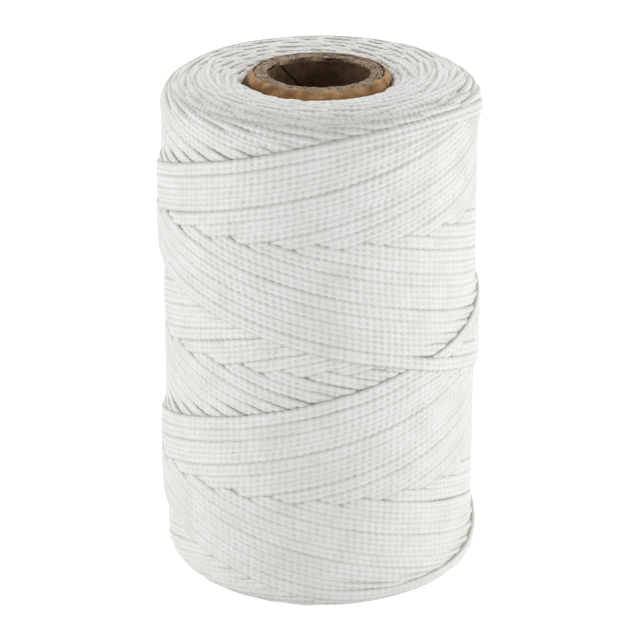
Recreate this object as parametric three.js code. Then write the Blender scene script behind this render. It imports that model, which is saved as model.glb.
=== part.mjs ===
// A cross-wound reel of flat white braided cord on a spiral-wound paperboard tube.
// Millimetres, +Z up. The origin is the centre of the tube's lower end, on the surface it stands on.

import * as THREE from 'three';

// ---- Driving dimensions -------------------------------------------------------------------

// Paperboard tube, built up from helical plies.
const tubeLength = 134;
const boreDiameter = 25.4;
const linerThickness = 0.4;
const bodyPlyThickness = 0.7;
const bodyPlyCount = 6;
const kraftThickness = 0.4;
const glueLine = 0.05;
const plySeamPitch = 80;
const plySeamGap = 0.5;
const plySeamTwist = 70;
const linerSeamAngle = 30;
const tubeSides = 36;

// Wound package.
const packageRadius = 41.2;
const endRecess = 0.6;
const shoulderWidth = 6.4;
const shoulderHeight = 9;
const craterDepth = 3.4;
const slumpDepth = 1;
const slumpWidth = 1.4;
const tubeClearance = 0.3;
const coreSides = 36;
const shoulderSteps = 4;
const craterSteps = 3;

// Cord of the outer layer, pressed flat where it lies.
const cordWidth = 2.6;
const cordThickness = 1.6;
const cordFlat = 1.45;
const turnGap = 0.5;
const cordClearance = 0.35;
const crossingGap = 1;

// Cross winding: the guide goes up in two turns and down in two, a little early each time.
const turnsPerStroke = 2;
const doubleStrokes = 6;
const turnaroundInset = 3.2;
const turnaroundSweep = 10;
const newestTurnaround = 30;
const loopSteps = 24;
const cordLead = 80;
const crossingMargin = 8;
const crossingRamp = 30;
const turnaroundRamp = 6;

const boardBrown = 0x8d7c69;
const linerBrown = 0x7d6a55;
const kraftTan = 0xbf8d5f;
const coreWhite = 0xd9dad3;
const cordWhite = 0xeeeee9;
const boardRoughness = 0.9;
const cordRoughness = 0.8;

// ---- Small helpers --------------------------------------------------------------------------

const radians = THREE.MathUtils.degToRad;
const smooth = (value, start, end) => THREE.MathUtils.smoothstep(value, start, end);

// Angle 0 faces -Y and grows towards +X.
function around(radius, degrees, z) {
  const angle = radians(degrees);
  return new THREE.Vector3(radius * Math.sin(angle), -radius * Math.cos(angle), z);
}

function closedGeometry(points, triangles) {
  const geometry = new THREE.BufferGeometry();
  geometry.setAttribute('position', new THREE.Float32BufferAttribute(points, 3));
  geometry.setIndex(triangles);
  geometry.computeVertexNormals();
  return geometry;
}

// A ring of sections, each a list of points, joined into one closed tube with flat ends.
function loft(sections) {
  const sides = sections[0].length;
  const points = sections.flat().flatMap((point) => [point.x, point.y, point.z]);
  const triangles = [];
  for (let ring = 0; ring < sections.length - 1; ring += 1) {
    for (let side = 0; side < sides; side += 1) {
      const a = ring * sides + side;
      const b = ring * sides + ((side + 1) % sides);
      triangles.push(a, b, a + sides, b, b + sides, a + sides);
    }
  }
  const last = (sections.length - 1) * sides;
  for (let side = 1; side < sides - 1; side += 1) {
    triangles.push(0, side + 1, side);
    triangles.push(last, last + side, last + side + 1);
  }
  return closedGeometry(points, triangles);
}

// A lathe profile of [radius, height] pairs turned about +Z.
function turned(profile, sides) {
  const closed = [...profile, profile[0]].map(([radius, height]) => new THREE.Vector2(radius, height));
  return new THREE.LatheGeometry(closed, sides).rotateX(Math.PI / 2);
}

function part(name, geometry, color, roughness) {
  const material = new THREE.MeshStandardMaterial({ color, roughness, metalness: 0 });
  const mesh = new THREE.Mesh(geometry, material);
  mesh.name = name;
  return mesh;
}

// ---- Paperboard tube --------------------------------------------------------------------------

// One strip of board wound into a tube, with its edges butted and its ends trimmed square to the axis.
function helicalPly(innerRadius, thickness, startAngle) {
  const outerRadius = innerRadius + thickness;
  const stepRise = plySeamPitch / tubeSides;
  const leastHeight = 0.1 * stepRise;
  const sections = [];
  for (let step = -tubeSides; step * stepRise < tubeLength; step += 1) {
    const low = Math.max(0, step * stepRise + plySeamGap / 2);
    const high = Math.min(tubeLength, step * stepRise + plySeamPitch - plySeamGap / 2);
    if (high - low > leastHeight) {
      const degrees = startAngle + (360 / tubeSides) * step;
      sections.push([
        around(innerRadius, degrees, low),
        around(innerRadius, degrees, high),
        around(outerRadius, degrees, high),
        around(outerRadius, degrees, low),
      ]);
    }
  }
  return loft(sections);
}

const plies = [{ name: 'tube_inner_liner', thickness: linerThickness, colour: linerBrown }];
for (let index = 1; index <= bodyPlyCount; index += 1) {
  plies.push({ name: `tube_board_ply_${index}`, thickness: bodyPlyThickness, colour: boardBrown });
}
plies.push({ name: 'tube_outer_kraft_ply', thickness: kraftThickness, colour: kraftTan });

function buildTube() {
  const tube = new THREE.Group();
  let innerRadius = boreDiameter / 2;
  plies.forEach(({ name, thickness, colour }, index) => {
    const geometry = helicalPly(innerRadius, thickness, linerSeamAngle + index * plySeamTwist);
    tube.add(part(name, geometry, colour, boardRoughness));
    innerRadius += thickness + glueLine;
  });
  return tube;
}

const tubeRadius = boreDiameter / 2 + plies.reduce((sum, ply) => sum + ply.thickness + glueLine, -glueLine);

// ---- Winding core: every turn beneath the outer layer -----------------------------------------

const stepAngle = 360 / loopSteps;
const facetShrink = Math.cos(radians(stepAngle / 2));
const crossingLift = cordThickness + crossingGap;
const coreRadius = (packageRadius - crossingLift - cordThickness) * facetShrink - cordClearance;
const crestRadius = coreRadius - shoulderWidth;
const middle = tubeLength / 2;
const halfWinding = middle - endRecess;

// Radius of the core's rounded side at a height, and how steeply it falls inwards there.
function coreSurface(z) {
  const fromMiddle = z - middle;
  const past = Math.max(0, Math.abs(fromMiddle) - (halfWinding - shoulderHeight)) / shoulderHeight;
  const root = Math.sqrt(Math.max(1e-6, 1 - past * past));
  const slope = -Math.sign(fromMiddle) * (shoulderWidth / shoulderHeight) * (past / root);
  return { radius: crestRadius + shoulderWidth * root, slope };
}

// Half of the profile, from the crater beside the tube over the crest to the straight side.
function endProfile() {
  const bore = tubeRadius + tubeClearance;
  const floor = bore + slumpWidth;
  const points = [[bore, halfWinding - craterDepth - slumpDepth]];
  for (let step = 0; step < craterSteps; step += 1) {
    const share = step / craterSteps;
    points.push([
      floor + (crestRadius - floor) * share,
      halfWinding - craterDepth * (1 - Math.sin((Math.PI / 2) * share)),
    ]);
  }
  for (let step = 0; step <= shoulderSteps; step += 1) {
    const angle = (Math.PI / 2) * (step / shoulderSteps);
    points.push([
      crestRadius + shoulderWidth * Math.sin(angle),
      halfWinding - shoulderHeight * (1 - Math.cos(angle)),
    ]);
  }
  return points;
}

function windingCore() {
  const top = endProfile().map(([radius, height]) => [radius, middle + height]);
  const bottom = endProfile().map(([radius, height]) => [radius, middle - height]);
  return turned([...bottom, ...top.reverse()], coreSides);
}

// ---- Outer winding: the newest turns, one unbroken cord ---------------------------------------

// Each stroke ends early, so every double stroke lies one cord spacing beside the last.
const windingPitch = (2 * (halfWinding - turnaroundInset)) / turnsPerStroke;
const windAngle = Math.atan2(windingPitch, 2 * Math.PI * coreRadius);
const strokeShift = THREE.MathUtils.radToDeg((cordWidth + turnGap) / Math.sin(windAngle) / coreRadius);
const strokeAngle = 360 * turnsPerStroke - strokeShift / 2;
const strokeCount = 2 * doubleStrokes;
const firstTurnaround = newestTurnaround + (strokeCount - 1) * (strokeShift / 2);

// Stroke number and angle since its start; even strokes climb.
function strokeAt(travel) {
  const stroke = Math.floor(travel / strokeAngle);
  return { stroke, since: travel - stroke * strokeAngle };
}

// Height on the core: straight helices, rounded where the guide reverses.
function heightAt(travel) {
  const { stroke, since } = strokeAt(travel);
  const rise = (2 * (halfWinding - turnaroundInset)) / strokeAngle;
  const fromEnd = Math.min(since, strokeAngle - since);
  const rounded = (fromEnd * fromEnd + turnaroundSweep * turnaroundSweep) / (2 * turnaroundSweep);
  const climbed = fromEnd < turnaroundSweep ? rounded : fromEnd;
  const nearStart = since < strokeAngle / 2;
  const height = rise * (nearStart ? climbed : strokeAngle - climbed);
  const climbing = stroke % 2 === 0;
  return middle + (climbing ? 1 : -1) * (height - (halfWinding - turnaroundInset));
}

// Share of the crossing lift. A stroke starts on top of the turns it leaves, and the two
// directions then take the upper place in turn, half a turn apart.
const bandReach = doubleStrokes * (strokeShift / 2) + crossingMargin;

function liftAt(travel) {
  const { stroke, since } = strokeAt(travel);
  const crossings = stroke % 2 === 0 ? [180, 540] : [360];
  const held = (centre) => 1 - smooth(Math.abs(since - centre), bandReach, bandReach + crossingRamp);
  const leaving = smooth(since, -turnaroundRamp, turnaroundRamp) * held(0);
  const arriving = smooth(since - strokeAngle, -turnaroundRamp, turnaroundRamp);
  return Math.max(leaving, arriving, ...crossings.map(held));
}

function cordCentre(travel) {
  const { radius, slope } = coreSurface(heightAt(travel));
  const outward = 1 / Math.hypot(1, slope);
  const facetGap = coreRadius * (1 / facetShrink - 1);
  const lift = facetGap + cordClearance + cordThickness / 2 + crossingLift * liftAt(travel);
  const degrees = firstTurnaround + travel;
  const centre = around(radius + lift * outward, degrees, heightAt(travel) - lift * outward * slope);
  const normal = around(outward, degrees, -slope * outward);
  return { centre, normal };
}

// Places along the cord where a section stands: a fixed grid of angles, closer at turnarounds.
function sectionTravels() {
  const start = cordLead;
  const end = strokeCount * strokeAngle + cordLead;
  const close = [];
  for (let stroke = 1; stroke <= strokeCount; stroke += 1) {
    for (const offset of [-turnaroundSweep, -turnaroundSweep / 2, 0, turnaroundSweep / 2, turnaroundSweep]) {
      close.push(stroke * strokeAngle + offset);
    }
  }
  const grid = [];
  const first = Math.ceil((firstTurnaround + start) / stepAngle) * stepAngle - firstTurnaround;
  for (let travel = first; travel < end; travel += stepAngle) {
    if (close.every((other) => Math.abs(other - travel) > stepAngle / 4)) {
      grid.push(travel);
    }
  }
  return [...grid, ...close].sort((a, b) => a - b);
}

// Six-sided flattened section: a flat on the core, a flat outside and an edge to each side.
function sectionOutline({ centre, normal }, tangent) {
  const across = new THREE.Vector3().crossVectors(normal, tangent).normalize();
  const up = new THREE.Vector3().crossVectors(tangent, across).normalize();
  const edge = cordWidth / 2;
  const flat = cordFlat / 2;
  const face = cordThickness / 2;
  const corners = [[edge, 0], [flat, face], [-flat, face], [-edge, 0], [-flat, -face], [flat, -face]];
  return corners.map(([side, height]) => centre.clone()
    .addScaledVector(across, side)
    .addScaledVector(up, height));
}

function cordSections() {
  const stations = sectionTravels().map((travel) => ({ travel, ...cordCentre(travel) }));
  const straight = (from, towards) => ({
    ...from,
    centre: from.centre.clone().add(from.centre.clone().sub(towards.centre).setLength(cordWidth)),
  });
  stations.unshift(straight(stations[0], stations[1]));
  stations.push(straight(stations.at(-1), stations.at(-2)));
  return stations.map((station, index) => {
    const before = stations[Math.max(0, index - 1)].centre;
    const after = stations[Math.min(stations.length - 1, index + 1)].centre;
    const tangent = after.clone().sub(before).normalize();
    return { travel: station.travel, outline: sectionOutline(station, tangent) };
  });
}

// Least distance between skin points of different turns, on a finer set of points.
function leastGap(sections) {
  const cell = 2;
  const parts = 8;
  const sameTurn = 90;
  const cells = new Map();
  const keyOf = (x, y, z) => `${x},${y},${z}`;
  const skin = [];
  for (let index = 0; index < sections.length - 1; index += 1) {
    const here = sections[index];
    const next = sections[index + 1];
    for (let share = 0; share < parts; share += 1) {
      const ring = here.outline.map((point, side) => point.clone().lerp(next.outline[side], share / parts));
      const travel = here.travel + ((next.travel - here.travel) * share) / parts;
      ring.forEach((point, side) => {
        const corner = ring[(side + 1) % ring.length];
        skin.push({ point, travel }, { point: point.clone().lerp(corner, 0.5), travel });
      });
    }
  }
  let least = Infinity;
  for (const { point, travel } of skin) {
    const [x, y, z] = point.toArray().map((value) => Math.floor(value / cell));
    for (let near = 0; near < 27; near += 1) {
      const key = keyOf(x - 1 + (near % 3), y - 1 + (Math.floor(near / 3) % 3), z - 1 + Math.floor(near / 9));
      for (const other of cells.get(key) ?? []) {
        if (Math.abs(other.travel - travel) > sameTurn) {
          least = Math.min(least, point.distanceTo(other.point));
        }
      }
    }
    const key = keyOf(x, y, z);
    if (!cells.has(key)) {
      cells.set(key, []);
    }
    cells.get(key).push({ point, travel });
  }
  return least;
}

function outerWinding() {
  const sections = cordSections();
  const turns = (sections.at(-1).travel - sections[0].travel) / 360;
  console.log(`outer winding: ${turns.toFixed(1)} turns, least gap to itself ${leastGap(sections).toFixed(2)} mm`);
  return loft(sections.map(({ outline }) => outline));
}

// ---- Assembly ---------------------------------------------------------------------------------

const reel = new THREE.Group();
reel.add(buildTube());
reel.add(part('winding_core', windingCore(), coreWhite, cordRoughness));
reel.add(part('outer_winding', outerWinding(), cordWhite, cordRoughness));

export default reel;
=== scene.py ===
import math

import bpy
import numpy as np
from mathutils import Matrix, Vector


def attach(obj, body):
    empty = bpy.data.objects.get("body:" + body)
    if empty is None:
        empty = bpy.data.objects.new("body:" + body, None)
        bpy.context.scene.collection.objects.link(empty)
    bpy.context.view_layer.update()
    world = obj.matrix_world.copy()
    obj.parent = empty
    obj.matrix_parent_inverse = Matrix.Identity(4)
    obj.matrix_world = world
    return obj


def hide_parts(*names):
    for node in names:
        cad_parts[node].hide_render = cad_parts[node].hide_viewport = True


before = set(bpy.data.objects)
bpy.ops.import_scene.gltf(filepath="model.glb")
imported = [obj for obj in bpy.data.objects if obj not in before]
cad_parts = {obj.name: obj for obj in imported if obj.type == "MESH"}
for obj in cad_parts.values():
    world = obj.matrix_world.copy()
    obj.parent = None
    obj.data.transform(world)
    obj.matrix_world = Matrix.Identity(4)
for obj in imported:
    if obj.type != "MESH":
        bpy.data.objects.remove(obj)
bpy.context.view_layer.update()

MM = 0.001

# ---- Sizes, in millimetres and degrees -----------------------------------------------------

# The paper tube.
TUBE_RADIUS = 18.05
BORE_RADIUS = 12.7
TUBE_LENGTH = 134.0
MIDDLE = TUBE_LENGTH / 2
LINER = 0.4                # thickness of the innermost strip of the tube
KRAFT = 0.3                # thickness of the outermost one
BOARD_PLIES = 6
RIM_WEAR = 0.5             # that the upper rim has lost
RIM_ROUND = 2.0            # radius of the rims' outer edges, over which the outermost strip bends
RIM_SLOPE = 0.2            # that a rim falls from there to the bore
STRIP_RISE = 85.0          # of the strips' seams in one turn
KRAFT_SEAM = 8             # degrees around, where the outermost strip's seam reaches the top
LINER_SEAM = 237           # the same for the innermost strip

# The braided cord as it lies, pressed flat: two rows of stitches show on its face.
CORD_WIDTH = 3.6
CORD_THICKNESS = 1.6
UNDERSIDE = 0.8            # width of its underside, over the whole width
ROW_PITCH = 1.5
STITCHES_PER_TURN = 135
STITCH_LENGTH = 1.95
STITCH_DEPTH = 0.42
STITCH_RANGE = (0.55, 1.25)  # of their depth, as no two are pulled quite as tight
VALLEY_SHARE = 0.25        # of that depth, for the valleys between the rows
NOTCH_SHARE = 0.14         # for the notches between the stitches
PIT_SHARE = 0.6            # for the pits where valleys and notches meet
EDGE_START = 0.8           # distance from the cord's middle line, where its edges begin to fall
EDGE_DROP = 0.36           # that they fall

# The wound package. Heights of the outline are above the middle of the reel.
SIDE_RADIUS = 40.6
CREST_RADIUS = 30.2
CREST_HEIGHT = 66.4
SHOULDER_HEIGHT = 8.3
SHOULDER_BULGE = 0.92      # under 1 for a shoulder that is fuller than an ellipse
CRATER_RADIUS = 18.6       # where the end face meets the tube
CRATER_DEPTH = 1.8
CRATER_CURVE = 1.2         # over 1 where the end face climbs faster beside the tube
INNER_DEPTH = 1.9          # of the plain body beneath the cord that shows
INNER_END_DEPTH = 1.5
INNER_GAP = 0.15           # between that body and the tube
GAP_DEPTH = 6.0            # of that body where the innermost turns stand off the tube
GAP_REACH = 4              # distance from the tube over which it goes that deep
GAP_PLACE = -80            # degrees around the tube, where they do
GAP_WIDTH = 0.9
GAP_SPREAD = 11

# Cross winding: up in two turns and down in two, each double stroke a little behind the last.
RISE = 66.6                # of the cord in one turn
TURNS_PER_STROKE = 2
OUTER_LAYERS = 2
OUTER_STROKES = 86
STROKE_SHIFT = OUTER_LAYERS * 2 * 360 / OUTER_STROKES
LAST_REVERSAL = 35.0
TURN_PEAK = 61.8           # distance from the middle that the newest turnarounds reach
TURN_RISE = 2.5            # how much further each older layer's turnarounds reach
OLDER_LAYERS = 7
TURN_SWEEP = (48, 53)      # degrees over which the cord bends on each side of a turnaround
OLDER_REACH = 66           # degrees to both sides of a turnaround that are followed
STEP_HEIGHT = 1.4          # of the newest turns over the oldest
STEP_LEAD = 11             # degrees from the newest turn's middle to the edge of that step
STEP_END = 66              # distance from the middle where the step has run out
STEP_FADE = 6              # distance over which it does
STEP_SOFTNESS = (2.0, 1.4)  # degrees and millimetres that the step is spread over
DIVE = 0.95                # how far a cord sinks beneath a newer one
OLDER_DIVE = 0.6           # the same for the older turnarounds on the end faces
DIVE_EASE = 1.7            # over 1 where a cord hardly sinks beneath one that covers a little
STEEPEST_TILT = 0.3        # of a sinking cord, in radians
END_TRAVEL = 145           # degrees that the cord goes on after its last reversal
END_FADE = 5               # distance over which the step runs out where the cord ends
TUCK_DEPTH = 2.2           # of its end, beneath the turns beside it
TUCK_TRAVEL = 12

# How much turns differ from each other, each way.
REVERSAL_JITTER, OLDER_REVERSAL_JITTER = 0.7, 1.2
PEAK_JITTER, OLDER_PEAK_JITTER = 0.18, 0.3
LIFT_JITTER, OLDER_LIFT_JITTER = 0.07, 0.08
DRIFT = 0.13               # of a whole stroke
WANDER = 0.09              # within a stroke
WANDER_CALM = 60           # degrees from a reversal over which it fades
WANDER_PERIOD = (25, 160)
WANDER_WAVES = 5
STITCH_CREEP = 0.13        # in stitches, from one reversal to the next
STITCH_WANDER = 0.05       # in stitches, within a stroke

# Grid around and along the package.
STEP_ROUND = 0.5
STEP_ALONG = 0.25
COLUMNS = int(360 / STEP_ROUND)

random = np.random.default_rng(7)


def jitter(size):
    return random.uniform(-size, size)


# ---- The outline of the wound package ------------------------------------------------------

CRATER_POINTS = 60
SHOULDER_POINTS = 90
SIDE_STEP = 0.5
OUTLINE_STEP = 0.1
OUTLINE_BLUR = 8           # steps
NORMAL_BLUR = 12


def half_outline():
    """Points (radius, height over the middle) from the tube over the crest and to the middle."""
    share = np.linspace(0, 1, CRATER_POINTS)
    rounded = (1 - np.sin(math.pi / 2 * share)) ** CRATER_CURVE
    crater_r = CRATER_RADIUS + (CREST_RADIUS - CRATER_RADIUS) * share
    crater_z = CREST_HEIGHT - CRATER_DEPTH * rounded
    angle = np.linspace(0, math.pi / 2, SHOULDER_POINTS)[1:]
    shoulder_r = CREST_RADIUS + (SIDE_RADIUS - CREST_RADIUS) * np.sin(angle) ** SHOULDER_BULGE
    shoulder_z = CREST_HEIGHT - SHOULDER_HEIGHT * (1 - np.cos(angle) ** SHOULDER_BULGE)
    side_z = np.arange(CREST_HEIGHT - SHOULDER_HEIGHT - SIDE_STEP, 0, -SIDE_STEP)
    side_r = np.full(len(side_z), SIDE_RADIUS)
    return (np.concatenate([crater_r, shoulder_r, side_r]),
            np.concatenate([crater_z, shoulder_z, side_z]))


def blur(values, width):
    """Gaussian blur of a list of numbers, which goes on straight past both of its ends."""
    taps = np.exp(-0.5 * (np.arange(-3 * width, 3 * width + 1) / width) ** 2)
    padded = np.pad(values, 3 * width, mode="reflect", reflect_type="odd")
    return np.convolve(padded, taps / taps.sum(), mode="valid")


class Outline:
    """The package's outline, as a curve measured along its length from the middle, up or down."""

    def __init__(self):
        r, z = half_outline()
        r = np.concatenate([r, r[::-1]])
        z = np.concatenate([z, -z[::-1]])
        length = np.concatenate([[0], np.cumsum(np.hypot(np.diff(r), np.diff(z)))])
        self.reach = length[-1] / 2
        self.along = np.arange(-self.reach, self.reach, OUTLINE_STEP)
        place = self.reach - self.along
        self.radius = blur(np.interp(place, length, r), OUTLINE_BLUR)
        self.height = blur(np.interp(place, length, z), OUTLINE_BLUR)
        normal_r = np.gradient(self.height)
        normal_z = -np.gradient(self.radius)
        size = np.hypot(normal_r, normal_z)
        self.normal_r = blur(normal_r / size, NORMAL_BLUR)
        self.normal_z = blur(normal_z / size, NORMAL_BLUR)

    def at(self, along):
        tables = self.radius, self.height, self.normal_r, self.normal_z
        return [np.interp(along, self.along, table) for table in tables]


outline = Outline()
ROWS = int(2 * outline.reach / STEP_ALONG) + 1
GRID_ALONG = np.arange(ROWS) * STEP_ALONG - outline.reach


# ---- The route of the cord -----------------------------------------------------------------

HALF_RISE = RISE * TURNS_PER_STROKE / 2
STROKE_ANGLE = 360 * TURNS_PER_STROKE - STROKE_SHIFT / 2
SLOPE = 2 * HALF_RISE / STROKE_ANGLE


def on_grid(start, end):
    """The grid's angles from a start to an end."""
    first, last = math.ceil(start / STEP_ROUND), math.floor(end / STEP_ROUND)
    return np.arange(first, last + 1) * STEP_ROUND


def wobble(degrees, size):
    """A slow random wander, as no two turns lie quite alike."""
    total = np.zeros(len(degrees))
    for _ in range(WANDER_WAVES):
        period = random.uniform(*WANDER_PERIOD)
        total += np.sin(math.tau * degrees / period + random.uniform(0, math.tau))
    return size * total / math.sqrt(WANDER_WAVES)


def bent(gone, sweep):
    """Degrees climbed at a number of degrees past a reversal, which bends over the first."""
    return np.where(gone < sweep, (gone ** 2 + sweep ** 2) / (2 * sweep), gone)


def outer_stroke(first, last, climbs):
    """One stroke of the outer layers, between the marks of its two reversals."""
    start, end = first["angle"], last["angle"]
    degrees = on_grid(start, end)
    since, left = degrees - start, end - degrees
    slope = 2 * HALF_RISE / (end - start)
    corner_start = first["peak"] + slope * first["sweep"] / 2
    corner_end = last["peak"] + slope * last["sweep"] / 2
    slope = (corner_start + corner_end) / (end - start)
    rising = slope * bent(since, first["sweep"]) - corner_start
    closing = corner_end - slope * bent(left, last["sweep"])
    along = np.where(since < left, rising, closing)
    ease = np.clip(np.minimum(since, left) / WANDER_CALM, 0, 1)
    drift = jitter(DRIFT)
    along = along + (wobble(degrees, WANDER) + drift) * ease
    share = np.clip(since / (end - start), 0, 1)

    def between(mark):
        return first[mark] + (last[mark] - first[mark]) * share

    stitch = degrees / 360 * STITCHES_PER_TURN + between("stitch") + wobble(degrees, STITCH_WANDER)
    return {
        "degrees": degrees,
        "along": along if climbs else -along,
        "lift": between("lift"),
        "stitch": stitch,
    }


def outer_strokes():
    """The outer layers, oldest stroke first. Each reversal has marks of its own: where it is,
    how far it reaches, how it bends, how high it lies and how the stitches fall there."""
    stitch = np.cumsum(random.normal(0, STITCH_CREEP, OUTER_STROKES + 2))
    marks = []
    for number in range(OUTER_STROKES + 2):
        to_come = OUTER_STROKES - number
        reached = TURN_PEAK + OUTER_LAYERS * TURN_RISE * max(to_come, 0) / OUTER_STROKES
        marks.append({
            "angle": LAST_REVERSAL - to_come * STROKE_ANGLE + jitter(REVERSAL_JITTER),
            "peak": reached + jitter(PEAK_JITTER),
            "sweep": random.uniform(*TURN_SWEEP),
            "lift": jitter(LIFT_JITTER),
            "stitch": stitch[number],
        })
    strokes = [outer_stroke(marks[number], marks[number + 1], (OUTER_STROKES - number) % 2 == 0)
               for number in range(OUTER_STROKES + 1)]
    strokes[-1] = tucked_end(strokes[-1], marks[OUTER_STROKES]["angle"] + END_TRAVEL)
    return strokes


def tucked_end(stroke, end):
    """The cord's last stretch, cut short at the back with its end pushed in."""
    kept = stroke["degrees"] <= end
    last = {name: values[kept] for name, values in stroke.items()}
    buried = np.clip(1 - (end - last["degrees"]) / TUCK_TRAVEL, 0, 1)
    last["lift"] = last["lift"] - TUCK_DEPTH * buried ** 2
    return last


def older_turnarounds(top):
    """The turnarounds of the layers beneath, which show on one end face, oldest first."""
    found = []
    for layer in range(OLDER_LAYERS, 0, -1):
        peak = TURN_PEAK + (OUTER_LAYERS + layer) * TURN_RISE
        first = random.uniform(0, 360)
        for number in range(int(360 / STROKE_SHIFT) + 1):
            centre = first - number * STROKE_SHIFT + jitter(OLDER_REVERSAL_JITTER)
            degrees = on_grid(centre - OLDER_REACH, centre + OLDER_REACH)
            sweep = random.uniform(*TURN_SWEEP)
            climbed = SLOPE * (bent(np.abs(degrees - centre), sweep) - sweep / 2)
            place = peak + jitter(OLDER_PEAK_JITTER) - climbed
            place = np.minimum(place, outline.reach - CORD_WIDTH / 2 - tube_gap(degrees))
            along = place if top else -place
            found.append({
                "degrees": degrees,
                "along": along,
                "lift": np.full(len(degrees), jitter(OLDER_LIFT_JITTER)),
                "stitch": travelled(degrees, along) / STITCH_LENGTH,
            })
    return found


def tube_gap(degrees):
    """How far the innermost turns stand off the tube, as they do at one place at its left."""
    turned = (degrees - GAP_PLACE + 180) % 360 - 180
    return GAP_WIDTH * np.exp(-(turned / GAP_SPREAD) ** 2)


def travelled(degrees, along):
    """Length of a route on the outline, up to each of its points."""
    radius, height, _, _ = outline.at(along)
    angle = np.radians(degrees)
    step = np.sqrt(np.diff(radius * np.sin(angle)) ** 2 + np.diff(radius * np.cos(angle)) ** 2
                   + np.diff(height) ** 2)
    return np.concatenate([[0], np.cumsum(step)])


# ---- How high the cord lies ----------------------------------------------------------------

SINK_BLUR = 4              # samples
COVER_MARGIN = 2           # grid rows at each edge of a cord that don't count as covered


def soften(field, degrees, millimetres):
    """Gaussian blur of a grid whose opposite edges meet."""
    around = np.fft.fftfreq(COLUMNS, STEP_ROUND)[:, None] * degrees
    along = np.fft.rfftfreq(ROWS, STEP_ALONG)[None, :] * millimetres
    spread = np.exp(-2 * math.pi ** 2 * (around ** 2 + along ** 2))
    return np.fft.irfft2(np.fft.rfft2(field) * spread, s=field.shape)


def package_swell():
    """How far the surface stands over the outline. Each pass of the guide leaves its cord on
    top, and after the last reversal that is one more turn, up to where the cord ends."""
    degrees = (np.arange(COLUMNS) * STEP_ROUND)[:, None]
    last_down = LAST_REVERSAL - (HALF_RISE + GRID_ALONG[None, :]) / SLOPE
    last_up = LAST_REVERSAL - STROKE_ANGLE - (HALF_RISE - GRID_ALONG[None, :]) / SLOPE
    end_along = SLOPE * END_TRAVEL - HALF_RISE
    one_more = np.clip((end_along - GRID_ALONG) / END_FADE, 0, 1)[None, :]
    age_down = np.mod(degrees - last_down + STEP_LEAD, 360) / 360
    age_up = np.mod(degrees - last_up + STEP_LEAD + STROKE_SHIFT * one_more, 360) / 360
    side = np.clip((STEP_END - np.abs(GRID_ALONG)) / STEP_FADE, 0, 1)[None, :]
    return soften(STEP_HEIGHT * (1 - age_up - age_down) * side, *STEP_SOFTNESS)


def settle(stretches, swell):
    """Newest first, finds how far each stretch lies beneath whatever was wound on later."""
    over = np.zeros((COLUMNS, ROWS), dtype=bool)
    half = int(CORD_WIDTH / 2 / STEP_ALONG)
    offsets = np.arange(-half, half + 1)
    core = half - COVER_MARGIN
    for stretch in reversed(stretches):
        column = np.round(stretch["degrees"] / STEP_ROUND).astype(int) % COLUMNS
        row = np.round((stretch["along"] + outline.reach) / STEP_ALONG).astype(int)
        rows = np.clip(row[:, None] + offsets, 0, ROWS - 1)
        columns = np.repeat(column[:, None], len(offsets), axis=1)
        covered = over[columns, rows]
        stretch["ground"] = swell[column, np.clip(row, 0, ROWS - 1)]
        stretch["low_side"] = covered[:, half - core:half].mean(axis=1)
        stretch["high_side"] = covered[:, half + 1:half + core + 1].mean(axis=1)
        stretch["shows"] = ~covered.all(axis=1)
        lies_on_top = stretch["lift"] > -DIVE / 2
        over[columns[lies_on_top], rows[lies_on_top]] = True


def sink(stretch, dive):
    """Lets a stretch dive beneath newer ones, and tilt on the way."""
    low = dive * stretch["low_side"] ** DIVE_EASE
    high = dive * stretch["high_side"] ** DIVE_EASE
    tilt = np.clip((low - high) / (CORD_WIDTH / 2), -STEEPEST_TILT, STEEPEST_TILT)
    stretch["level"] = stretch["ground"] + stretch["lift"] - blur((low + high) / 2, SINK_BLUR)
    stretch["tilt"] = blur(tilt, SINK_BLUR)


def wound_cord():
    """Every stretch that may show, and the swell that they lie on."""
    older = older_turnarounds(top=True) + older_turnarounds(top=False)
    outer = outer_strokes()
    swell = package_swell()
    settle(older + outer, swell)
    whole_outer = {name: np.concatenate([stroke[name] for stroke in outer]) for name in outer[0]}
    for stretch in older:
        sink(stretch, OLDER_DIVE)
    sink(whole_outer, DIVE)
    return older + [whole_outer], swell


# ---- From the cord's route to its braided surface ------------------------------------------

FACE_STEPS = 12
STEP_CORD = STITCH_LENGTH / 7
LONGEST_PIECE = 190_000    # triangles
LEAST_RUN = 4              # samples; a glimpse shorter than this is left out
RUN_MARGIN = 5             # samples that a run goes on beneath newer turns
SHADE_STITCH = 0.5         # how much painted shade the stitches' depth and the cord's edges give it
SHADE_EDGE = 0.55
STITCH_PULL = random.uniform(*STITCH_RANGE, (4096, 4))  # by stitch and by row
MIDDLE_ROW = 1.5           # of that table's rows, on the cord's middle line


def positions(degrees, along, lift):
    """Points over the outline, and the directions straight out from it."""
    radius, height, normal_r, normal_z = outline.at(along)
    angle = np.radians(degrees)
    around = np.stack([np.sin(angle), -np.cos(angle), np.zeros(len(angle))], axis=1)
    up = np.array([0.0, 0.0, 1.0])
    normal = around * normal_r[:, None] + up * normal_z[:, None]
    centre = around * radius[:, None] + up * (height + MIDDLE)[:, None]
    return centre + normal * lift[:, None], normal


def runs(shows):
    """First and last index of each stretch that shows, widened a little at both ends."""
    edges = np.flatnonzero(np.diff(np.concatenate([[0], shows.astype(int), [0]])))
    glimpsed = np.zeros(len(shows))
    for first, last in zip(edges[::2], edges[1::2]):
        if last - first >= LEAST_RUN:
            glimpsed[max(0, first - RUN_MARGIN):last + RUN_MARGIN] = 1
    edges = np.flatnonzero(np.diff(np.concatenate([[0], glimpsed, [0]])))
    return list(zip(edges[::2], edges[1::2]))


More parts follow.
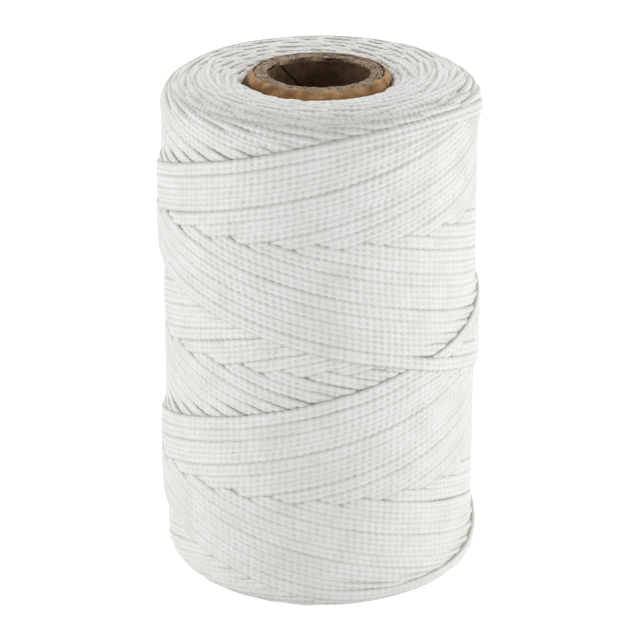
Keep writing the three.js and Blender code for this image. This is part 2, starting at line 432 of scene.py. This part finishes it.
def stitch_pull(stitch, row):
    """How tight the stitches are pulled at each place, blended between the nearest ones."""
    near, beside = np.floor(stitch).astype(int), np.floor(row).astype(int)
    part_along, part_across = stitch - near, row - beside
    pulled = 0
    for i, share_along in (0, 1 - part_along), (1, part_along):
        for j, share_across in (0, 1 - part_across), (1, part_across):
            pull = STITCH_PULL[(near + i) % len(STITCH_PULL), beside + j]
            pulled = pulled + pull * share_along * share_across
    return pulled


def braid_depth(stitch, x):
    """From 0 on a crest to about 1 in a pit, for two rows of stitches on the cord's face."""
    notch = (1 + np.cos(math.tau * stitch)) / 2
    valley = (1 + np.cos(math.tau * x / ROW_PITCH)) / 2
    pulled = stitch_pull(stitch, x / ROW_PITCH + MIDDLE_ROW)
    return VALLEY_SHARE * valley + pulled * (NOTCH_SHARE + PIT_SHARE * valley ** 2) * notch


def unit(vectors):
    return vectors / np.linalg.norm(vectors, axis=1)[:, None]


def even_steps(stretch, first, last):
    """Centres, outward directions, tilt and stitches of one run, at even steps of the cord."""
    cut = slice(first, last)
    centre, normal = positions(stretch["degrees"][cut], stretch["along"][cut],
                               stretch["level"][cut])
    step = np.linalg.norm(np.diff(centre, axis=0), axis=1)
    travel = np.concatenate([[0], np.cumsum(step)])
    count = max(3, int(travel[-1] / STEP_CORD) + 1)
    wanted = np.linspace(0, travel[-1], count)

    def pick(values):
        return np.stack([np.interp(wanted, travel, column) for column in values.T], axis=1)

    tilt, stitch = stretch["tilt"][cut][:, None], stretch["stitch"][cut][:, None]
    return pick(centre), pick(normal), pick(tilt), pick(stitch)


def cord_strip(stretch, first, last):
    """Vertices and faces of one closed stretch of cord, and painted shade for each vertex's depth.
    """
    centre, normal, tilt, stitch = even_steps(stretch, first, last)
    count = len(centre)
    tangent = unit(np.gradient(centre, axis=0))
    across = unit(np.cross(normal, tangent))
    outward = np.cross(tangent, across)
    across, outward = (across * np.cos(tilt) + outward * np.sin(tilt),
                       outward * np.cos(tilt) - across * np.sin(tilt))
    half = CORD_WIDTH / 2
    face_x = np.linspace(half, -half, FACE_STEPS + 1)[None, :]
    lean = -tangent[:, 2:] / STITCH_LENGTH
    depth = braid_depth(stitch + lean * face_x, face_x)
    edge = np.clip((np.abs(face_x) - EDGE_START) / (half - EDGE_START), 0, 1)
    face_z = -STITCH_DEPTH * depth - EDGE_DROP * edge ** 2
    # Painted shade, darker with the stitches' depth and towards the cord's edges; the underside
    # takes the darkest.
    shade = SHADE_STITCH * depth + SHADE_EDGE * edge ** 4
    under_x = np.array([[-UNDERSIDE * half, UNDERSIDE * half]])
    x = np.concatenate([face_x, under_x], axis=1) * np.ones((count, 1))
    z = np.concatenate([face_z, np.full((count, 2), -CORD_THICKNESS)], axis=1)
    pit = np.concatenate([shade, np.ones((count, 2))], axis=1)
    points = (centre[:, None, :] + across[:, None, :] * x[:, :, None]
              + outward[:, None, :] * z[:, :, None])
    sides = x.shape[1]
    ring = np.arange(count - 1)[:, None] * sides
    here = np.arange(sides)[None, :]
    there = (here + 1) % sides
    quads = np.stack([ring + here, ring + there, ring + there + sides, ring + here + sides],
                     axis=2)
    return {
        "points": points.reshape(-1, 3),
        "quads": quads.reshape(-1, 4),
        "caps": [np.arange(sides)[::-1], np.arange(sides) + (count - 1) * sides],
        "pit": pit.reshape(-1),
    }


def add_attribute(mesh, name, values):
    data = mesh.attributes.new(name, "FLOAT", "POINT").data
    data.foreach_set("value", values.reshape(-1).astype(np.float32))


def cord_mesh(name, strips):
    """One mesh from several strips, with painted shade for the braid's pits as an attribute for
    the material.
    """
    points, loops, starts, totals, pits = [], [], [], [], []
    vertex = loop = 0
    for strip in strips:
        quads = strip["quads"] + vertex
        loops.append(quads.reshape(-1))
        starts.append(loop + 4 * np.arange(len(quads)))
        totals.append(np.full(len(quads), 4))
        loop += 4 * len(quads)
        for cap in strip["caps"]:
            loops.append(cap + vertex)
            starts.append(np.array([loop]))
            totals.append(np.array([len(cap)]))
            loop += len(cap)
        points.append(strip["points"])
        pits.append(strip["pit"])
        vertex += len(strip["points"])
    points, loops = np.concatenate(points) * MM, np.concatenate(loops)
    starts, totals = np.concatenate(starts), np.concatenate(totals)
    mesh = bpy.data.meshes.new(name)
    mesh.vertices.add(len(points))
    mesh.vertices.foreach_set("co", points.reshape(-1).astype(np.float32))
    mesh.loops.add(len(loops))
    mesh.loops.foreach_set("vertex_index", loops.astype(np.int32))
    mesh.polygons.add(len(starts))
    mesh.polygons.foreach_set("loop_start", starts.astype(np.int32))
    mesh.polygons.foreach_set("loop_total", totals.astype(np.int32))
    mesh.polygons.foreach_set("use_smooth", np.ones(len(starts), dtype=bool))
    mesh.update()
    mesh.validate()
    add_attribute(mesh, "braid_pit", np.concatenate(pits))
    return mesh


def new_object(name, data):
    """A new object in the scene."""
    thing = bpy.data.objects.new(name, data)
    bpy.context.scene.collection.objects.link(thing)
    return thing


def show(mesh, slot, material, *nodes):
    """A visible piece of the reel, which takes the place of some of the CAD's nodes."""
    piece = new_object(mesh.name, mesh)
    piece.data.materials.append(material)
    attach(piece, "root")
    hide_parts(*nodes)


# ---- Materials -----------------------------------------------------------------------------

# Colours as they render under plain light, in linear red, green and blue.
WHITE = (1, 1, 1)
BLACK = (0, 0, 0)
CORD_CREST = (0.875, 0.875, 0.865)
# Painted shade: a greyer white for the braid's pits, and olive grey for the grooves between cords.
CORD_PIT_SHADE = (0.7, 0.7, 0.68)
CORD_GROOVE_SHADE = (0.5, 0.49, 0.36)
CORD_SOILED = (0.93, 0.93, 0.91)
CORD_FIBRE = (0.9, 0.9, 0.89)
KRAFT_DARK = (0.26, 0.13, 0.05)
KRAFT_MIDDLE = (0.47, 0.27, 0.125)
KRAFT_LIGHT = (0.68, 0.44, 0.24)
KRAFT_FIBRE = (0.72, 0.68, 0.63)
BOARD_DARK = (0.18, 0.13, 0.09)
BOARD_MIDDLE = (0.38, 0.28, 0.19)
BOARD_LIGHT = (0.56, 0.45, 0.34)
# Near black: the board's own dark specks, and painted shade in its cracks and pits and along the
# liner's seam.
BOARD_SPECK_AND_SHADE = (0.03, 0.02, 0.012)
# The liner's brown, painted darker for the shade inside the bore.
LINER_SHADED_DARK = (0.075, 0.042, 0.021)
LINER_SHADED_LIGHT = (0.2, 0.12, 0.065)
LINER_FIBRE = (0.7, 0.68, 0.66)


def new_material(name, roughness, specular):
    material = bpy.data.materials.new(name)
    material.use_nodes = True
    shader = material.node_tree.nodes["Principled BSDF"]
    shader.inputs["Roughness"].default_value = roughness
    shader.inputs["Specular IOR Level"].default_value = specular
    return material, material.node_tree, shader


def add(tree, kind, **inputs):
    """A new node. A value that is another node's socket is linked, and any other is set."""
    node = tree.nodes.new("ShaderNode" + kind)
    for name, value in inputs.items():
        socket = node.inputs[name.replace("_", " ")]
        if isinstance(value, bpy.types.NodeSocket):
            tree.links.new(value, socket)
        else:
            socket.default_value = value
    return node


def ramp(tree, value, *stops):
    """A colour ramp: each stop is a place and a colour."""
    node = add(tree, "ValToRGB", Fac=value)
    elements = node.color_ramp.elements
    while len(elements) < len(stops):
        elements.new(0.5)
    for element, (position, colour) in zip(elements, stops):
        element.position = position
        element.color = (*colour, 1)
    return node.outputs["Color"]


def blend(tree, kind, factor, first, second):
    """A mix of two colours by a factor. Each of the three is a socket or a plain value."""
    node = tree.nodes.new("ShaderNodeMix")
    node.data_type = "RGBA"
    node.blend_type = kind
    for index, value in (0, factor), (6, first), (7, second):
        if isinstance(value, bpy.types.NodeSocket):
            tree.links.new(value, node.inputs[index])
        elif index:
            node.inputs[index].default_value = (*value, 1)
        else:
            node.inputs[index].default_value = value
    return node.outputs[2]


def noise(tree, scale, detail, stretch=(1, 1, 1)):
    """Noise in the object's own coordinates, with a scale in grains for each metre."""
    mapping = add(tree, "Mapping", Vector=add(tree, "TexCoord").outputs["Object"])
    mapping.inputs["Scale"].default_value = stretch
    vector = mapping.outputs["Vector"]
    return add(tree, "TexNoise", Vector=vector, Scale=scale, Detail=detail).outputs["Fac"]


def attribute(tree, name):
    node = tree.nodes.new("ShaderNodeAttribute")
    node.attribute_name = name
    return node.outputs["Fac"]


def cover(tree, shader, colour, grain, strength, distance):
    """Gives a shader its colour, and a fine relief on top of the piece's own shape."""
    tree.links.new(colour, shader.inputs["Base Color"])
    bump = add(tree, "Bump", Height=grain, Strength=strength, Distance=distance)
    tree.links.new(bump.outputs["Normal"], shader.inputs["Normal"])


def cord_material():
    """White braid, with a soft sheen, random soiling, and painted shade in its pits and grooves.
    """
    material, tree, shader = new_material("braided_cord", 0.48, 0.5)
    shader.inputs["Sheen Weight"].default_value = 0.15
    shader.inputs["Sheen Roughness"].default_value = 0.5
    # Painted shade: the cord's white darkens in the braid's pits, and turns olive grey in the
    # grooves, at the edges and on the turns beneath.
    depth = attribute(tree, "braid_pit")
    colour = ramp(tree, depth, (0.0, CORD_CREST), (0.6, CORD_PIT_SHADE), (1.0, CORD_GROOVE_SHADE))
    soiled = ramp(tree, noise(tree, 140, 4), (0.3, CORD_SOILED), (0.6, WHITE))
    fine = noise(tree, 2600, 2)
    fibres = ramp(tree, fine, (0.25, CORD_FIBRE), (0.75, WHITE))
    colour = blend(tree, "MULTIPLY", 1.0, colour, soiled)
    colour = blend(tree, "MULTIPLY", 1.0, colour, fibres)
    cover(tree, shader, colour, fine, 0.25, 0.00008)
    return material


def kraft_material():
    """Tan wrapping paper, scuffed and a little stained."""
    material, tree, shader = new_material("kraft_paper", 0.78, 0.25)
    stains = noise(tree, 260, 5)
    colour = ramp(tree, stains, (0.34, KRAFT_DARK), (0.5, KRAFT_MIDDLE), (0.68, KRAFT_LIGHT))
    fibres = ramp(tree, noise(tree, 1500, 3, (1, 1, 4)), (0.3, KRAFT_FIBRE), (0.6, WHITE))
    colour = blend(tree, "MULTIPLY", 1.0, colour, fibres)
    scuffs = ramp(tree, attribute(tree, "worn"), (0.0, BLACK), (1.0, WHITE))
    colour = blend(tree, "MIX", scuffs, colour, BOARD_MIDDLE)
    cover(tree, shader, colour, noise(tree, 1100, 4), 0.5, 0.0002)
    return material


def board_material():
    """Cut edge of grey-brown board: plies, fibres, dark specks, painted shade in cracks and pits.
    """
    material, tree, shader = new_material("grey_board", 0.9, 0.15)
    pulp = noise(tree, 700, 5)
    colour = ramp(tree, pulp, (0.32, BOARD_DARK), (0.5, BOARD_MIDDLE), (0.7, BOARD_LIGHT))
    specks = ramp(tree, noise(tree, 1900, 2), (0.32, BOARD_SPECK_AND_SHADE), (0.4, WHITE))
    colour = blend(tree, "MULTIPLY", 1.0, colour, specks)
    # Painted shade in the cracks between plies and in the pits.
    painted_crack_shade = ramp(tree, attribute(tree, "worn"), (0.1, BLACK), (0.8, WHITE))
    colour = blend(tree, "MIX", painted_crack_shade, colour, BOARD_SPECK_AND_SHADE)
    cover(tree, shader, colour, noise(tree, 1500, 4), 0.6, 0.0003)
    return material


def liner_material():
    """Brown board inside the bore, painted darker for the shade in it, and with painted shade
    along its seam.
    """
    material, tree, shader = new_material("bore_liner", 0.85, 0.2)
    colour = ramp(tree, noise(tree, 320, 5), (0.3, LINER_SHADED_DARK), (0.7, LINER_SHADED_LIGHT))
    fibres = ramp(tree, noise(tree, 1400, 3, (1, 1, 3)), (0.3, LINER_FIBRE), (0.6, WHITE))
    colour = blend(tree, "MULTIPLY", 1.0, colour, fibres)
    seam = ramp(tree, attribute(tree, "worn"), (0.0, BLACK), (1.0, WHITE))
    colour = blend(tree, "MIX", seam, colour, BOARD_SPECK_AND_SHADE)
    cover(tree, shader, colour, noise(tree, 900, 4), 0.5, 0.0003)
    return material


# ---- The turns deep inside -----------------------------------------------------------------

INNER_STEP = 6             # of the grid's steps, between two points
INNER_MARGIN = 8           # rows of the grid left out at both ends
INNER_FADE_START = 60      # distance from the middle where it comes nearer to the surface
INNER_FADE = 8
INNER_RIM = 1              # height of its wall beside the tube that is left out


def revolved(name, radius, height, **attributes):
    """A closed body from a ring of points at each of several angles around the axis."""
    around, sides = radius.shape
    angle = np.radians(np.arange(around) * 360 / around)[:, None]
    points = np.stack([radius * np.sin(angle), -radius * np.cos(angle), height], axis=2)
    here = np.arange(around)[:, None] * sides
    beside = (np.arange(around)[:, None] + 1) % around * sides
    side = np.arange(sides)[None, :]
    after = (side + 1) % sides
    quads = np.stack([here + side, beside + side, beside + after, here + after], axis=2)
    mesh = bpy.data.meshes.new(name)
    mesh.from_pydata((points.reshape(-1, 3) * MM).tolist(), [], quads.reshape(-1, 4).tolist())
    mesh.polygons.foreach_set("use_smooth", np.ones(around * sides, dtype=bool))
    for title, values in attributes.items():
        add_attribute(mesh, title, values)
    return mesh


def inner_turns_mesh(swell):
    """The turns deep inside, as one closed body that only shows through gaps between cords."""
    columns = np.arange(0, COLUMNS, INNER_STEP)
    rows = np.arange(INNER_MARGIN, ROWS - INNER_MARGIN, INNER_STEP)
    places = GRID_ALONG[rows]
    fade = np.clip((np.abs(places) - INNER_FADE_START) / INNER_FADE, 0, 1)
    depth = INNER_DEPTH + (INNER_END_DEPTH - INNER_DEPTH) * fade
    beside_tube = np.clip((np.abs(places) - places.max() + GAP_REACH) / GAP_REACH, 0, 1)
    opened = GAP_DEPTH * tube_gap(columns * STEP_ROUND)[:, None] / GAP_WIDTH * beside_tube
    lift = swell[columns][:, rows] - depth[None, :] - opened
    radius, height, normal_r, normal_z = outline.at(places)
    ring_r = np.maximum(radius[None, :] + normal_r[None, :] * lift, TUBE_RADIUS + INNER_GAP)
    ring_z = height[None, :] + normal_z[None, :] * lift + MIDDLE
    bore = np.full((len(columns), 1), TUBE_RADIUS + INNER_GAP)
    ring_r = np.concatenate([ring_r, bore, bore], axis=1)
    ring_z = np.concatenate([ring_z, ring_z[:, -1:] - INNER_RIM, ring_z[:, :1] + INNER_RIM],
                            axis=1)
    # The body takes the cord's darkest painted shade all over, as it shows only through gaps.
    return revolved("winding_inner_turns", ring_r, ring_z, braid_pit=np.ones_like(ring_r))


# ---- The tube ------------------------------------------------------------------------------

TUBE_COLUMNS = 720

# The cut ends of the board.
BOARD_RINGS = 31
BOARD_INSET = 0.15         # of the board's ends below the paper that bends over them
BOARD_HILLS = 0.07
BOARD_GRAIN = 0.05
LOWEST = 0.02              # that the board's lower end stays above the ground
PLY_SEAM_WIDTH = 0.16
PLY_SEAM_DEPTH = 0.05
CRACK_DEPTH = 0.35
CRACK_START = 0.3          # of a seam's random pull apart, where it begins to open
CRACK_LIMIT = 1.4
FRONT_CRACKS = 0.35        # how far the plies part at the front, over the back
PIT_COUNT = 26
PIT_SIZE = (0.12, 0.34)
PIT_DEPTH = (0.6, 1.4)
PIT_MARGIN = (0.4, 1.0)    # free of pits, at the bore and at the outside
LAP_START = 0.6            # over which the board makes room for the paper's edge
LAP_DEPTH = 1.6            # that it makes, in thicknesses of the paper

# The outermost strip.
BEND_RINGS = 13
WALL_RINGS = 60
KRAFT_BEND = 0.82          # share of a quarter turn that it bends over a rim
KRAFT_RAGGED = (0.06, 0.03)  # how much that share differs, in slow waves and in quick ones
KRAFT_CREASE = 0.2         # depth of the crease along its seam
KRAFT_CREASE_WIDTH = 0.3
KRAFT_HILLS = 0.1
KRAFT_FRAYED = (0.15, 0.5, 0.9)  # wear of its last three rings, up to its edge

# The innermost strip, with its seam. It is loose at the back of the upper rim.
LINER_FINE_REACH = 24      # below the upper rim, where its rings lie close together
LINER_STEPS = (6.0, 0.5)   # between its rings, below there and above
LINER_END = 0.3            # height of its lower end
LOOSE_PLACE = 190
LOOSE_LIMIT = 0.1          # cosine of the angle on both sides of there, where it is fixed again
LOOSE_WIDTH = 0.75
LOOSE_FALL = 2.5           # distance from the rim over which it comes back to the board
LOOSE_DROP = 0.7           # of its edge, where it is loose
SEAM_DEPTH = 0.2
SEAM_WIDTH = 0.45
CURL = 0.45                # of its edge along the seam
CURL_WIDTH = 1.6
CURL_FALL = 9
LINER_HILLS = 0.05
LINER_EDGE = 0.12
EDGE_FALL = 1.5            # distance from the rim over which the edge's own shape fades
OUTER_EVERY = 4            # rings of its inner face for each of its outer face
LINER_CLEARANCE = 0.02


def mottle(rows, spread_round, spread_rows):
    """Random hills and dips around the tube, about 1 high, over so many columns and rows."""
    around = np.fft.fftfreq(TUBE_COLUMNS)[:, None] * spread_round
    along = np.fft.rfftfreq(rows)[None, :] * spread_rows
    spread = np.exp(-2 * math.pi ** 2 * (around ** 2 + along ** 2))
    field = np.fft.rfft2(random.normal(size=(TUBE_COLUMNS, rows))) * spread
    field = np.fft.irfft2(field, s=(TUBE_COLUMNS, rows))
    return field / field.std()


def column_degrees():
    return np.arange(TUBE_COLUMNS) * 360 / TUBE_COLUMNS


def rim_drop(radius):
    """How far a rim that wear has taken down lies below its highest ring."""
    crown = TUBE_RADIUS - RIM_ROUND
    outer = np.clip((radius - crown) / RIM_ROUND, 0, 1)
    inner = np.clip((crown - radius) / (crown - BORE_RADIUS), 0, 1)
    return RIM_ROUND * (1 - np.sqrt(1 - outer ** 2)) + RIM_SLOPE * inner


def board_pits(radii):
    """Depth of small pits scattered over one cut end of the board."""
    pits = np.zeros((TUBE_COLUMNS, len(radii)))
    inside, outside = radii[0] + PIT_MARGIN[0], radii[-1] - PIT_MARGIN[1]
    for _ in range(PIT_COUNT):
        column, at = random.integers(TUBE_COLUMNS), random.uniform(inside, outside)
        size, depth = random.uniform(*PIT_SIZE), random.uniform(*PIT_DEPTH)
        turned = (np.arange(TUBE_COLUMNS) - column + TUBE_COLUMNS / 2) % TUBE_COLUMNS
        turned = np.radians((turned - TUBE_COLUMNS / 2) * 360 / TUBE_COLUMNS)
        away = np.hypot(turned[:, None] * at, (radii - at)[None, :])
        pits = np.maximum(pits, depth * np.exp(-(away / size) ** 2))
    return pits


def board_end(radii):
    """Height lost over one cut end of the board, and painted shade for its cracks and pits."""
    rings = len(radii)
    rough = BOARD_HILLS * mottle(rings, 5, 1.2) + BOARD_GRAIN * mottle(rings, 1.5, 0.8)
    ply = (TUBE_RADIUS - KRAFT - BORE_RADIUS - LINER) / BOARD_PLIES
    seams = (radii - BORE_RADIUS - LINER) / ply
    near_seam = np.exp(-((seams - np.round(seams)) * ply / PLY_SEAM_WIDTH) ** 2)[None, :]
    back = (1 - np.cos(np.radians(column_degrees())))[:, None] / 2
    parted = np.clip(mottle(BOARD_PLIES + 1, 18, 0.01) - CRACK_START, 0, CRACK_LIMIT)
    opened = (FRONT_CRACKS + (1 - FRONT_CRACKS) * back) * parted
    opened = opened[:, np.clip(np.round(seams).astype(int), 0, BOARD_PLIES)]
    crack = np.maximum(near_seam * opened, board_pits(radii))
    # The second value is painted shade for the cracks and pits.
    return rough + PLY_SEAM_DEPTH * near_seam + CRACK_DEPTH * crack, np.clip(crack, 0, 1)


def board_wall_mesh():
    """The glued plies of grey board as they show on the two cut ends."""
    radii = np.linspace(BORE_RADIUS + LINER, TUBE_RADIUS - KRAFT, BOARD_RINGS)
    lap = np.clip((radii - (TUBE_RADIUS - RIM_ROUND)) / LAP_START, 0, 1) * KRAFT * LAP_DEPTH
    lost_top, worn_top = board_end(radii)
    lost_low, worn_low = board_end(radii)
    top = TUBE_LENGTH - RIM_WEAR - BOARD_INSET - rim_drop(radii) - lap - lost_top
    low = np.maximum(BOARD_INSET + rim_drop(radii) + lap + lost_low, LOWEST)
    radius = np.concatenate([radii[::-1], radii]) * np.ones((TUBE_COLUMNS, 1))
    height = np.concatenate([top[:, ::-1], low], axis=1)
    # Painted shade in the cracks and pits, as an attribute for the material.
    worn = np.concatenate([worn_top[:, ::-1], worn_low], axis=1)
    return revolved("tube_board_wall", radius, height, worn=worn)


def seam_distance(height, start):
    """Radians around the tube from each place to a strip's helical seam."""
    turned = column_degrees()[:, None] - start + 360 * (TUBE_LENGTH - height) / STRIP_RISE
    return ((turned + 180) % 360 - 180) * math.pi / 180


def kraft_wrap_mesh():
    """The outermost strip: tan paper that bends over the rims and ends there, ragged."""
    ragged = (KRAFT_BEND + KRAFT_RAGGED[0] * mottle(1, 9, 0.01)
              + KRAFT_RAGGED[1] * mottle(1, 2, 0.01))
    angle = np.linspace(0, 1, BEND_RINGS)[None, :] * ragged * math.pi / 2
    crown = TUBE_RADIUS - RIM_ROUND
    bend_r = crown + RIM_ROUND * np.cos(angle)
    bend_z = RIM_ROUND * (np.sin(angle) - 1)
    back_r = crown + (RIM_ROUND - KRAFT) * np.cos(angle)
    back_z = (RIM_ROUND - KRAFT) * np.sin(angle) - RIM_ROUND
    top = TUBE_LENGTH - RIM_WEAR
    wall_z = np.linspace(RIM_ROUND, top - RIM_ROUND, WALL_RINGS)[1:-1]
    wall_z = np.ones((TUBE_COLUMNS, 1)) * wall_z
    wall_r = np.full(wall_z.shape, TUBE_RADIUS)
    outside_r = np.concatenate([bend_r[:, ::-1], wall_r, bend_r], axis=1)
    outside_z = np.concatenate([-bend_z[:, ::-1], wall_z, top + bend_z], axis=1)
    from_seam = seam_distance(outside_z, KRAFT_SEAM) * TUBE_RADIUS
    crease = np.exp(-(from_seam / KRAFT_CREASE_WIDTH) ** 2)
    rings = outside_r.shape[1]
    outside_r = outside_r - KRAFT_CREASE * crease + KRAFT_HILLS * mottle(rings, 6, 1.3)
    radius = np.concatenate([outside_r, back_r[:, ::-1], back_r], axis=1)
    height = np.concatenate([outside_z, top + back_z[:, ::-1], -back_z], axis=1)
    worn = np.zeros_like(radius)
    frayed = np.clip(0.5 + 0.5 * mottle(3, 4, 0.01), 0, 1)
    worn[:, rings - 3:rings] = frayed * np.array(KRAFT_FRAYED)
    worn[:, :3] = frayed * np.array(KRAFT_FRAYED[::-1])
    return revolved("tube_kraft_wrap", radius, height, worn=worn)


def liner_mesh():
    """The innermost strip, a little loose from the board at the back of the upper rim."""
    top = TUBE_LENGTH - RIM_WEAR - RIM_SLOPE
    coarse, fine = LINER_STEPS
    heights = np.concatenate([np.arange(LINER_END, top - LINER_FINE_REACH, coarse),
                              np.arange(top - LINER_FINE_REACH, top - fine / 2, fine)])
    from_top = heights - top
    behind = np.radians(column_degrees() - LOOSE_PLACE)[:, None]
    loose = (np.clip(np.cos(behind) - LOOSE_LIMIT, 0, 1)
             * np.exp(from_top / LOOSE_FALL)[None, :])
    past_seam = seam_distance(heights[None, :], LINER_SEAM) * BORE_RADIUS
    seam = np.exp(-(past_seam / SEAM_WIDTH) ** 2)
    curl = (CURL * np.exp(-np.clip(-past_seam, 0, None) / CURL_WIDTH) * (past_seam < 0)
            * np.exp(from_top / CURL_FALL))
    wall_r = (BORE_RADIUS + SEAM_DEPTH * seam - LOOSE_WIDTH * loose - curl
              + LINER_HILLS * mottle(len(heights), 9, 3))
    edge = LINER_EDGE * mottle(1, 6, 0.01) - LOOSE_DROP * loose[:, -1:]
    wall_z = heights[None, :] + edge * np.exp(from_top / EDGE_FALL)[None, :]
    last = len(heights) - 1
    behind_wall = np.unique([*range(0, last, OUTER_EVERY), last])[::-1]
    outer_r = np.minimum(wall_r[:, behind_wall] + LINER, BORE_RADIUS + LINER - LINER_CLEARANCE)
    radius = np.concatenate([wall_r, outer_r], axis=1)
    height = np.concatenate([wall_z, wall_z[:, behind_wall]], axis=1)
    # Painted shade along the seam's groove, as an attribute for the material.
    worn = np.concatenate([seam, np.zeros_like(outer_r)], axis=1)
    return revolved("tube_inner_liner_strip", radius[:, ::-1], height[:, ::-1],
                    worn=worn[:, ::-1])


# ---- The reel ------------------------------------------------------------------------------

def build_cord():
    """The wound cord, in pieces of a limited size, and the turns deep inside."""
    material = cord_material()
    stretches, swell = wound_cord()
    groups, strips, size = [], [], 0
    for stretch in stretches:
        for first, last in runs(stretch["shows"]):
            strip = cord_strip(stretch, first, last)
            triangles = 2 * len(strip["quads"])
            if size + triangles > LONGEST_PIECE:
                groups.append(strips)
                strips, size = [], 0
            strips.append(strip)
            size += triangles
    groups.append(strips)
    for number, group in enumerate(groups, 1):
        show(cord_mesh(f"wound_cord_{number:02d}", group), "cord", material, "outer_winding")
    show(inner_turns_mesh(swell), "cord", material, "winding_core")


def build_tube():
    board_nodes = [f"tube_board_ply_{number}" for number in range(1, BOARD_PLIES + 1)]
    show(board_wall_mesh(), "tube_board", board_material(), *board_nodes)
    show(kraft_wrap_mesh(), "tube_kraft", kraft_material(), "tube_outer_kraft_ply")
    show(liner_mesh(), "tube_board", liner_material(), "tube_inner_liner")


build_cord()
build_tube()


# ---- Camera, light and ground --------------------------------------------------------------

SENSOR = 36                # the camera's, with its lens in the same millimetres
LENS = 170.6
LENS_SHIFT = (0.0011, -0.0036)
CAMERA_PLACE = (0, -731.1, 354.1)
CAMERA_TARGET = (0, 0, 66.9)

# Name, place, width and height of each lamp in metres, and its power in watts.
LAMPS = (
    ("left_lamp", (-0.8, -0.2, 0.26), (0.6, 0.46), 3.15),
    ("right_lamp", (0.8, -0.2, 0.26), (0.6, 0.46), 3.6),
    ("top_lamp", (0, 0.62, 0.78), (0.8, 0.8), 4.9),
    ("low_lamp", (0, -0.45, 0.03), (0.6, 0.05), 0.34),
)
LAMP_TARGET = (0, 0, 0.067)
WORLD_LIGHT = 0.285
FLOOR_SIZE = 6.0           # metres from its middle to its edges
FLOOR_LIT = 0.97
FLOOR_SEEN = 0.6           # of white, so that it darkens in the shadow
FLOOR_GLOW = 0.85          # that makes up the rest


def aim(thing, location, target):
    thing.location = Vector(location)
    thing.rotation_euler = (Vector(target) - thing.location).to_track_quat("-Z", "Y").to_euler()


def build_camera():
    data = bpy.data.cameras.new("camera")
    data.sensor_width = SENSOR
    data.lens = LENS
    data.shift_x, data.shift_y = LENS_SHIFT
    data.clip_start = 0.05
    data.clip_end = 20
    camera = new_object("camera", data)
    aim(camera, Vector(CAMERA_PLACE) * MM, Vector(CAMERA_TARGET) * MM)
    bpy.context.scene.camera = camera


def soft_lamp(name, location, size, watts):
    data = bpy.data.lights.new(name, "AREA")
    data.shape = "RECTANGLE"
    data.size, data.size_y = size
    data.energy = watts
    aim(new_object(name, data), location, LAMP_TARGET)


def seen_or_lit(tree, seen, lit):
    """One shader for a surface as the camera sees it, also mirrored, and one for its light."""
    path = tree.nodes.new("ShaderNodeLightPath")
    either = add(tree, "Math")
    either.operation = "MAXIMUM"
    tree.links.new(path.outputs["Is Camera Ray"], either.inputs[0])
    tree.links.new(path.outputs["Is Glossy Ray"], either.inputs[1])
    mix = tree.nodes.new("ShaderNodeMixShader")
    tree.links.new(either.outputs[0], mix.inputs[0])
    tree.links.new(lit, mix.inputs[1])
    tree.links.new(seen, mix.inputs[2])
    return mix.outputs[0]


def build_light():
    """Soft lamps, and a world that looks white and gives a little light."""
    for lamp in LAMPS:
        soft_lamp(*lamp)
    world = bpy.data.worlds.new("world")
    world.use_nodes = True
    tree = world.node_tree
    lit = tree.nodes["Background"]
    lit.inputs["Color"].default_value = (*WHITE, 1)
    lit.inputs["Strength"].default_value = WORLD_LIGHT
    seen = add(tree, "Background", Color=(*WHITE, 1), Strength=1.0)
    mixed = seen_or_lit(tree, seen.outputs[0], lit.outputs[0])
    tree.links.new(mixed, tree.nodes["World Output"].inputs["Surface"])
    bpy.context.scene.world = world
    bpy.context.scene.view_settings.view_transform = "Standard"


def build_floor():
    """A plain floor that looks white, and still takes the object's shadow."""
    size = FLOOR_SIZE
    corners = [(-size, -size, 0), (size, -size, 0), (size, size, 0), (-size, size, 0)]
    mesh = bpy.data.meshes.new("floor")
    mesh.from_pydata(corners, [], [(0, 1, 2, 3)])
    floor = new_object("floor", mesh)
    material, tree, shader = new_material("floor_white", 0.9, 0.1)
    shader.inputs["Base Color"].default_value = (FLOOR_LIT, FLOOR_LIT, FLOOR_LIT, 1)
    base = (FLOOR_SEEN, FLOOR_SEEN, FLOOR_SEEN, 1)
    seen = add(tree, "BsdfPrincipled", Base_Color=base, Roughness=0.9, Specular_IOR_Level=0,
               Emission_Color=(*WHITE, 1), Emission_Strength=FLOOR_GLOW)
    mixed = seen_or_lit(tree, seen.outputs[0], shader.outputs[0])
    tree.links.new(mixed, tree.nodes["Material Output"].inputs["Surface"])
    floor.data.materials.append(material)


build_camera()
build_light()
build_floor()
